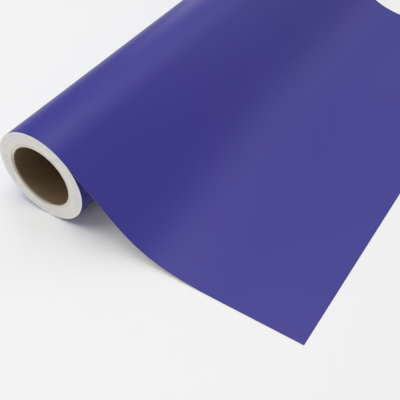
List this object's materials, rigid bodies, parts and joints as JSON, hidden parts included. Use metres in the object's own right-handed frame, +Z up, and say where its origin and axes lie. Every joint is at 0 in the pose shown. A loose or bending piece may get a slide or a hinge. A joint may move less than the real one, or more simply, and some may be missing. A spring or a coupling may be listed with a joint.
{
  "type": "roll of sign vinyl",
  "caption": "Self-adhesive vinyl film on release liner, wound on a spiral paper core, with its loose end drawn off over the top and lying flat.",
  "frame": {"origin": "middle of the core's bore, on its axis, halfway along the roll", "axes": "+Y along the bore, +Z up, +X the way the web is drawn off"},
  "size_m": [0.3778, 0.61, 0.1143],
  "materials": {
    "vinyl_film": "satin",
    "release_liner": "matte",
    "wound_web": "matte",
    "kraft_ply": "matte",
    "core_board": "matte",
    "masking_tape": "matte"
  },
  "bodies": {
    "web_fall": {"outer_turn_liner": "release_liner", "outer_turn_film": "vinyl_film", "fall_liner": "release_liner", "fall_film": "vinyl_film", "run_liner": "release_liner", "run_film": "vinyl_film"},
    "roll": {"core_inner_ply": "kraft_ply", "core_board_ply_1": "core_board", "core_board_ply_2": "core_board", "core_board_ply_3": "core_board", "core_board_ply_4": "core_board", "core_board_ply_5": "core_board", "core_board_ply_6": "core_board", "core_outer_ply": "kraft_ply", "start_tape": "masking_tape", "wound_web": "wound_web"},
    "lead_end": {"lead_liner": "release_liner", "lead_film": "vinyl_film"},
    "peel_edge": {"peel_film": "vinyl_film"}
  },
  "joints": [
    {"name": "roll_turn", "type": "hinge", "parent": "web_fall", "child": "roll", "pos_m": [0, 0, 0], "axis": [0, 1, 0], "range_deg": [-30, 300]},
    {"name": "web_feed", "type": "slide", "parent": "web_fall", "child": "lead_end", "axis": [1, 0, 0], "range_m": [-0.03, 0.3], "deforming": ["run_liner", "run_film"]},
    {"name": "film_peel", "type": "hinge", "parent": "lead_end", "child": "peel_edge", "pos_m": [0.2807, 0, -0.05691], "axis": [0, -1, 0], "range_deg": [0, 150]}
  ],
  "couplings": [
    {"joint": "web_feed", "follows": "roll_turn", "m_per_rad": 0.05703}
  ]
}
